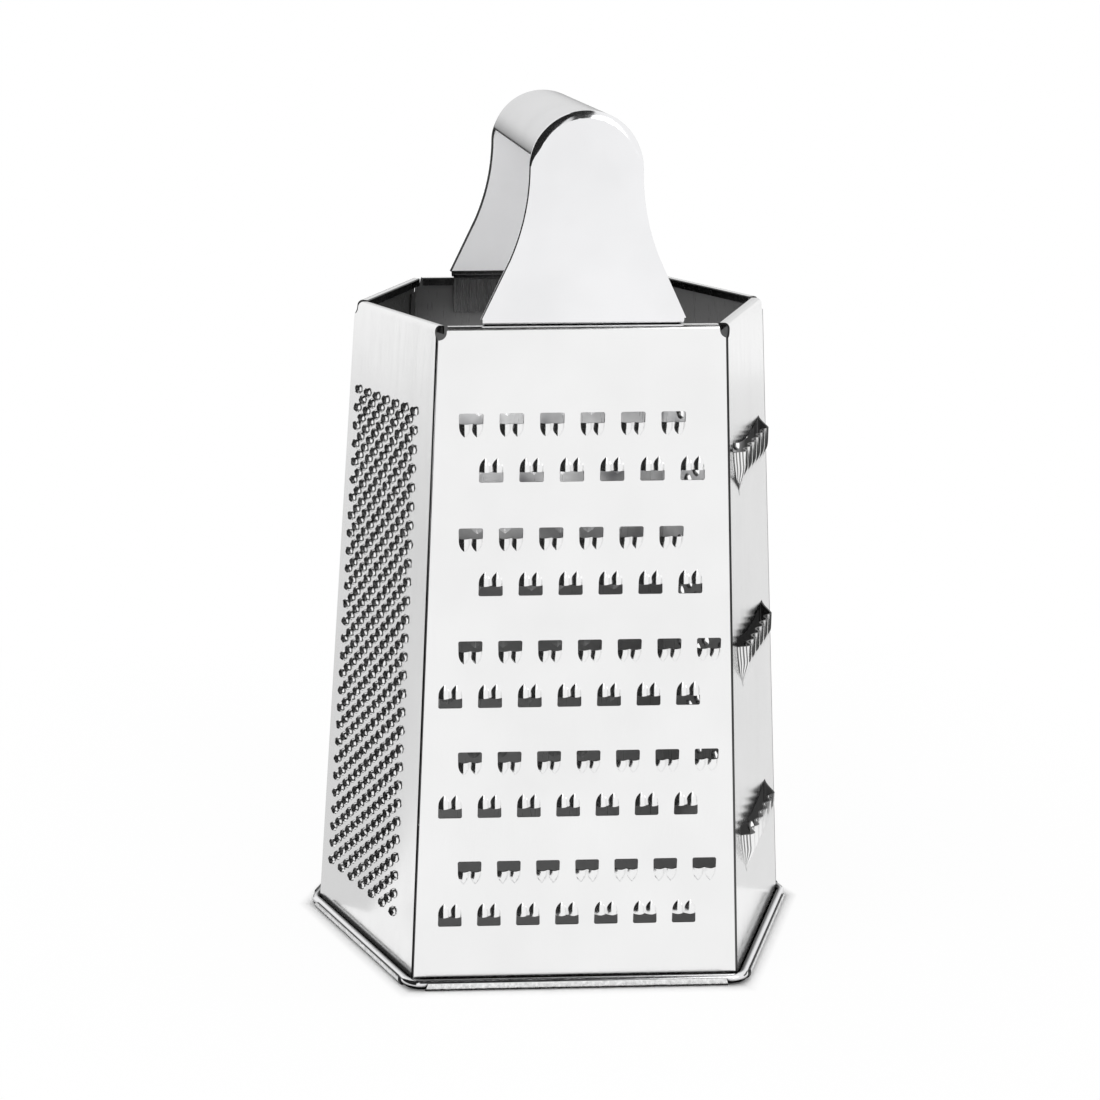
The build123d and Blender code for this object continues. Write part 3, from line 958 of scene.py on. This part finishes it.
def base_ring():
    """Round wire, bent at the six corners."""
    spread = tan(taper) * (rim_height - curl_height) + wire_seat / cos(taper)
    corners = spread_corners(spread)
    bm = bmesh.new()
    rings = []
    for index, corner in enumerate(corners):
        incoming = (corner - corners[index - 1]).normalized()
        outgoing = (corners[(index + 1) % 6] - corner).normalized()
        turn = incoming.angle(outgoing)
        inward = (outgoing - incoming).normalized()
        centre = corner + inward * (wire_bend_radius / cos(turn / 2))
        for step in range(wire_bend_steps + 1):
            spin = Matrix.Rotation(turn * (step / wire_bend_steps - 0.5), 3, "Z")
            outward = spin @ -inward
            ring = []
            for side in range(wire_sides):
                angle = 2 * pi * side / wire_sides
                point = centre + outward * (wire_bend_radius + wire_radius * cos(angle))
                ring.append(bm.verts.new((point.x, point.y, curl_height + wire_radius * sin(angle))))
            rings.append(ring)
    for index, ring in enumerate(rings):
        following = rings[(index + 1) % len(rings)]
        for side in range(wire_sides):
            beside = (side + 1) % wire_sides
            face = bm.faces.new((ring[side], following[side], following[beside], ring[beside]))
            face.smooth = True
    bmesh.ops.recalc_face_normals(bm, faces=bm.faces)
    dress(finish_mesh(bm, "base_ring", [wire_steel]), "base_wire")


def edge_ramp(turn):
    """Share of the arch edge's full width at an angle of the arch."""
    return smooth_step((min(turn, pi - turn) - arch_edge_start) / (arch_edge_full - arch_edge_start))


def plate_side():
    """Right outline of a plate, from its foot up the flare to where the arch edge starts."""
    flare_centre = (arch_radius + flare_radius, arch_height)
    across = flare_centre[0] - base_half
    rise = arch_height - ledge_height
    turn = atan2(rise, across) - acos(flare_radius / hypot(across, rise))
    side = [(base_half, ledge_height + foot_bend_radius)]
    side += arc(flare_centre, flare_radius, pi + turn, pi, 3 * curve_steps)
    side += arc((0, arch_height), arch_radius, 0, arch_edge_start, curve_steps // 6)[1:]
    return side


def inset(points, distance):
    """Outline moved to its left by a distance."""
    shifted = []
    for index, point in enumerate(points):
        before = Vector(points[max(index - 1, 0)])
        after = Vector(points[min(index + 1, len(points) - 1)])
        along = (after - before).normalized()
        shifted.append((point[0] - along.y * distance, point[1] + along.x * distance))
    return shifted


def arch_turns():
    """Angles of the columns of the arch edge, from right to left."""
    steps = 5 * curve_steps
    last = pi - arch_edge_start
    return [arch_edge_start + (last - arch_edge_start) * step / steps for step in range(steps + 1)]


def crown_radius(turn):
    """Radius at which the flat of a plate ends and its arch edge begins."""
    return arch_radius - plate_bevel - (arch_edge_width - plate_bevel) * edge_ramp(turn)


def plate_outline():
    """Bell-shaped flat of a handle plate, with height measured from the ground."""
    right = inset(plate_side(), plate_bevel)
    right[0] = (right[0][0], ledge_height + foot_bend_radius)
    top = [
        (crown_radius(turn) * cos(turn), arch_height + crown_radius(turn) * sin(turn))
        for turn in arch_turns()[1:-1]
    ]
    left = [(-x, z) for x, z in reversed(right)]
    return right + top + left


def arch_edge():
    """Rows of the rounded edge round the arch, from the flat to the grip."""
    first = inset(plate_side(), plate_bevel)[-1]
    rows = []
    for step in range(curve_steps + 1):
        share = step / curve_steps
        row = []
        for turn in arch_turns():
            crown = crown_radius(turn)
            radius = crown + (arch_radius - crown) * share * (2 - share)
            deeper = arch_edge_radius + grip_end_setback - plate_bevel_depth
            full = plate_bevel_depth + deeper * edge_ramp(turn)
            shoulder = 2 * share * (1 - share) * (arch_radius - crown) * tan(arch_crease)
            depth = -shoulder - share ** 2 * full
            row.append((radius * cos(turn), arch_height + radius * sin(turn), depth))
        if step == 0:
            row[0] = (first[0], first[1], 0.0)
            row[-1] = (-first[0], first[1], 0.0)
        rows.append(row)
    return rows


def plate_bevels():
    """Rows of the bevel down both sides of a plate."""
    outer = plate_side()
    flat = inset(outer, plate_bevel)
    flat[0] = (flat[0][0], outer[0][1])
    rows = []
    for step in range(plate_bevel_steps + 1):
        turn = pi / 2 * step / plate_bevel_steps
        depth = plate_bevel_depth * (cos(turn) - 1)
        rows.append([
            (a[0] + (b[0] - a[0]) * sin(turn), a[1] + (b[1] - a[1]) * sin(turn), depth)
            for a, b in zip(flat, outer)
        ])
    left = [[(-x, z, depth) for x, z, depth in row] for row in rows]
    return rows, left


def plate_foot():
    """Rows of the joggled foot, from the flat over the rim and down behind its lip."""
    reach = plate_face - lip_face
    inner = foot_bend_radius - handle_sheet
    flat_half = base_half - plate_bevel
    bend = (foot_bend_radius, ledge_height + foot_bend_radius)
    path = arc(bend, foot_bend_radius, -pi, -pi / 2, curve_steps // 2)
    path += arc((reach - inner, ledge_height - inner), inner, pi / 2, 0, curve_steps // 3)
    path.append((reach, rim_height - tab_length))
    rows = []
    for depth, height in path:
        half = flat_half if depth < reach - inner else base_half - foot_inset
        rows.append([(-half, height, -depth), (half, height, -depth)])
    return rows[:-1], rows[-2:]


def handle_plate(name, node, rear_side):
    """One end plate of the handle, the rear one turned round."""
    skin = Skin()
    skin.flat(plate_outline())
    skin.grid(arch_edge())
    for rows in plate_bevels():
        skin.grid(rows)
    bend, tab = plate_foot()
    # The foot's bend and its tab get painted shade, the tab lighter
    skin.grid(bend, back=foot_bend_index)
    skin.grid(tab, back=foot_tab_index)
    piece = thicken(
        skin,
        lambda point: Vector((point[0], -plate_face - point[2], point[1])),
        handle_sheet,
        name,
        [handle_steel, cut_shaded_steel, satin_steel, shaded_steel, half_shade_steel],
    )
    if rear_side:
        piece.data.transform(Matrix.Rotation(pi, 4, "Z"))
    dress(piece, node)


def grip():
    """Half-round grip with a bead along both lower edges."""
    bead_circle = arch_radius - grip_bead_radius
    left_bead = (-bead_circle * cos(grip_edge), arch_height + bead_circle * sin(grip_edge))
    right_bead = (-left_bead[0], left_bead[1])
    middle = (0, arch_height)
    over = pi - grip_edge
    crest = 6 * curve_steps
    under_ends = over - grip_bead_turn, grip_edge + grip_bead_turn
    profile = arc(middle, arch_radius, grip_edge, over, crest)
    profile += arc(left_bead, grip_bead_radius, over, over + grip_bead_sweep, grip_bead_steps)[1:]
    profile += arc(middle, arch_radius - handle_sheet, *under_ends, 5 * curve_steps)
    start = grip_edge - grip_bead_sweep
    profile += arc(right_bead, grip_bead_radius, start, grip_edge, grip_bead_steps)[:-1]
    bm = bmesh.new()
    near = [bm.verts.new((x, -grip_half, z)) for x, z in profile]
    far = [bm.verts.new((x, grip_half, z)) for x, z in profile]
    for index in range(len(profile)):
        following = (index + 1) % len(profile)
        face = bm.faces.new((near[index], near[following], far[following], far[index]))
        face.smooth = True
        # The left bead and the end caps get painted shade
        shaded_bead = crest < index < crest + grip_bead_steps
        face.material_index = grip_shaded_index if shaded_bead else grip_outside_index
    for cap in (bm.faces.new(near), bm.faces.new(reversed(far))):
        cap.material_index = grip_shaded_index
    bmesh.ops.recalc_face_normals(bm, faces=bm.faces)
    dress(finish_mesh(bm, "grip", [handle_steel, shaded_steel]), "handle_grip")


def stage_card(name, corners, first_shade, last_shade, axis="Z"):
    """Card beside the set that only the metal sees, shaded evenly along one of its axes."""
    corners = [corner if len(corner) == 3 else (*corner, card_floor) for corner in corners]
    mesh = bpy.data.meshes.new(name)
    mesh.from_pydata(corners, [], [tuple(range(len(corners)))])
    card = bpy.data.objects.new(name, mesh)
    bpy.context.scene.collection.objects.link(card)
    paint, tree, shader = new_material(name + "_paint")
    tree.nodes.remove(shader)
    glow = tree.nodes.new("ShaderNodeEmission")
    way = tree.nodes.new("ShaderNodeSeparateXYZ")
    tree.links.new(tree.nodes.new("ShaderNodeTexCoord").outputs["Generated"], way.inputs["Vector"])
    shade = remap(tree, way.outputs[axis], 0.0, 1.0, first_shade, last_shade)
    tree.links.new(shade, glow.inputs["Color"])
    tree.links.new(glow.outputs["Emission"], tree.nodes["Material Output"].inputs["Surface"])
    mesh.materials.append(paint)
    card.visible_camera = False
    card.visible_diffuse = False
    card.visible_transmission = False
    card.visible_shadow = False


def seen_directly(tree):
    """One for rays from the camera, off metal or through glass, and zero for the light itself."""
    path = tree.nodes.new("ShaderNodeLightPath")
    seen = path.outputs["Is Camera Ray"]
    for ray in ("Is Glossy Ray", "Is Transmission Ray"):
        seen = calculate(tree, "ADD", seen, path.outputs[ray], clamp=True)
    return seen


def surround():
    """World that lights the object evenly and is plain white behind it."""
    world = bpy.data.worlds.new("surround")
    bpy.context.scene.world = world
    world.use_nodes = True
    tree = world.node_tree
    sky = tree.nodes["Background"]
    sky.inputs["Color"].default_value = grey(1)
    seen = seen_directly(tree)
    strength = remap(tree, seen, 0.0, 1.0, world_light, backdrop_light)
    tree.links.new(strength, sky.inputs["Strength"])


def outside_foot(tree, place):
    """How far a place on the floor lies outside the six-sided foot."""
    furthest = None
    for face in (front, front_right, front_left):
        side = tree.nodes.new("ShaderNodeVectorMath")
        side.operation = "DOT_PRODUCT"
        side.inputs[1].default_value = face.out
        tree.links.new(place, side.inputs[0])
        size = calculate(tree, "ABSOLUTE", side.outputs["Value"])
        away = calculate(tree, "SUBTRACT", size, face.middle.dot(face.out) + foot_reach)
        if furthest is not None:
            away = calculate(tree, "MAXIMUM", furthest, away)
        furthest = away
    return furthest


def floor():
    """Pale floor with painted shade inside the foot, the shadow beside it and plain white farther off.
    """
    bpy.ops.mesh.primitive_plane_add(size=floor_size)
    ground = bpy.context.object
    ground.name = "floor"
    paint, tree, lit = new_material("floor_paint")
    lit.inputs["Roughness"].default_value = floor_roughness
    glow = tree.nodes.new("ShaderNodeEmission")
    reach = outside_foot(tree, object_place(tree))
    # Painted shade: the floor is darker inside the foot
    under = remap(tree, reach, -inside_floor_fade, 0.0, 0.0, 1.0)
    colour = mix(tree, grey(inside_floor_painted_shade), grey(floor_shade), under)
    tree.links.new(colour, lit.inputs["Base Color"])
    near_fade = remap(tree, reach, 0.0, near_fade_reach, 0.0, near_fade_share)
    far_fade = remap(tree, reach, near_fade_reach, far_fade_reach, 0.0, far_fade_share)
    fade = calculate(tree, "ADD", near_fade, far_fade)
    share = calculate(tree, "MULTIPLY", fade, seen_directly(tree))
    blend = tree.nodes.new("ShaderNodeMixShader")
    tree.links.new(share, blend.inputs["Fac"])
    tree.links.new(lit.outputs["BSDF"], blend.inputs[1])
    tree.links.new(glow.outputs["Emission"], blend.inputs[2])
    tree.links.new(blend.outputs["Shader"], tree.nodes["Material Output"].inputs["Surface"])
    ground.data.materials.append(paint)


def soft_lamp(name, place, size, power, reflected):
    """Square soft lamp that points at the middle of the object."""
    data = bpy.data.lights.new(name, "AREA")
    data.shape = "SQUARE"
    data.size = size
    data.energy = power
    lamp = bpy.data.objects.new(name, data)
    lamp.location = place
    aim = Vector((0, 0, overall_height / 2)) - Vector(place)
    lamp.rotation_euler = aim.to_track_quat("-Z", "Y").to_euler()
    lamp.visible_glossy = reflected
    lamp.visible_camera = False
    bpy.context.scene.collection.objects.link(lamp)


def foot_ring(spread):
    """Six corners round the foot, just above the floor."""
    return [(corner.x, corner.y, contact_height) for corner in spread_corners(spread)]


def back_cards():
    """Cards behind the set that grow paler upward."""
    for index in range(len(back_heights) - 1):
        low, high = back_heights[index:index + 2]
        corners = [(back_left, low), (back_right, low), (back_right, high), (back_left, high)]
        corners = [(x, back_distance, z) for x, z in corners]
        stage_card(f"back_card_{index}", corners, *back_shades[index:index + 2])


def foot_cards():
    """Narrow dark strips where the foot meets the floor, a painted contact shadow that only the metal
    reflects, and a pale card inside the foot.
    """
    outer = foot_ring(foot_reach + contact_outside)
    inner = foot_ring(foot_reach - contact_inside)
    for index in range(6):
        following = (index + 1) % 6
        strip = [outer[index], outer[following], inner[following], inner[index]]
        stage_card(f"contact_card_{index}", strip, contact_shade, contact_shade)
    stage_card("inside_card", inner, *inside_card_shades, "X")


def studio():
    """Pale floor, white surround, soft lamps and the cards that give the metal its tones."""
    surround()
    floor()
    for lamp in lamps:
        soft_lamp(*lamp)
    for card in cards:
        stage_card(*card)
    back_cards()
    foot_cards()


def camera():
    """Camera at the photograph's place."""
    forward = Vector((
        sin(camera_yaw) * cos(camera_pitch), cos(camera_yaw) * cos(camera_pitch), -sin(camera_pitch)
    ))
    across = Vector((cos(camera_yaw), -sin(camera_yaw), 0))
    above = across.cross(forward)
    right = across * cos(camera_roll) + above * sin(camera_roll)
    top = above * cos(camera_roll) - across * sin(camera_roll)
    data = bpy.data.cameras.new("camera")
    data.sensor_width = camera_sensor
    data.lens = camera_lens
    data.shift_x, data.shift_y = camera_shift
    data.clip_start = camera_clip_start
    view = bpy.data.objects.new("camera", data)
    view.matrix_world = Matrix((right, top, -forward)).transposed().to_4x4()
    view.location = camera_place
    bpy.context.scene.collection.objects.link(view)
    bpy.context.scene.camera = view


body()
base_ring()
handle_plate("front_plate", "handle_front_plate", False)
handle_plate("rear_plate", "handle_rear_plate", True)
grip()
studio()
camera()
bpy.context.scene.view_settings.view_transform = "Standard"

bpy.context.view_layer.update()
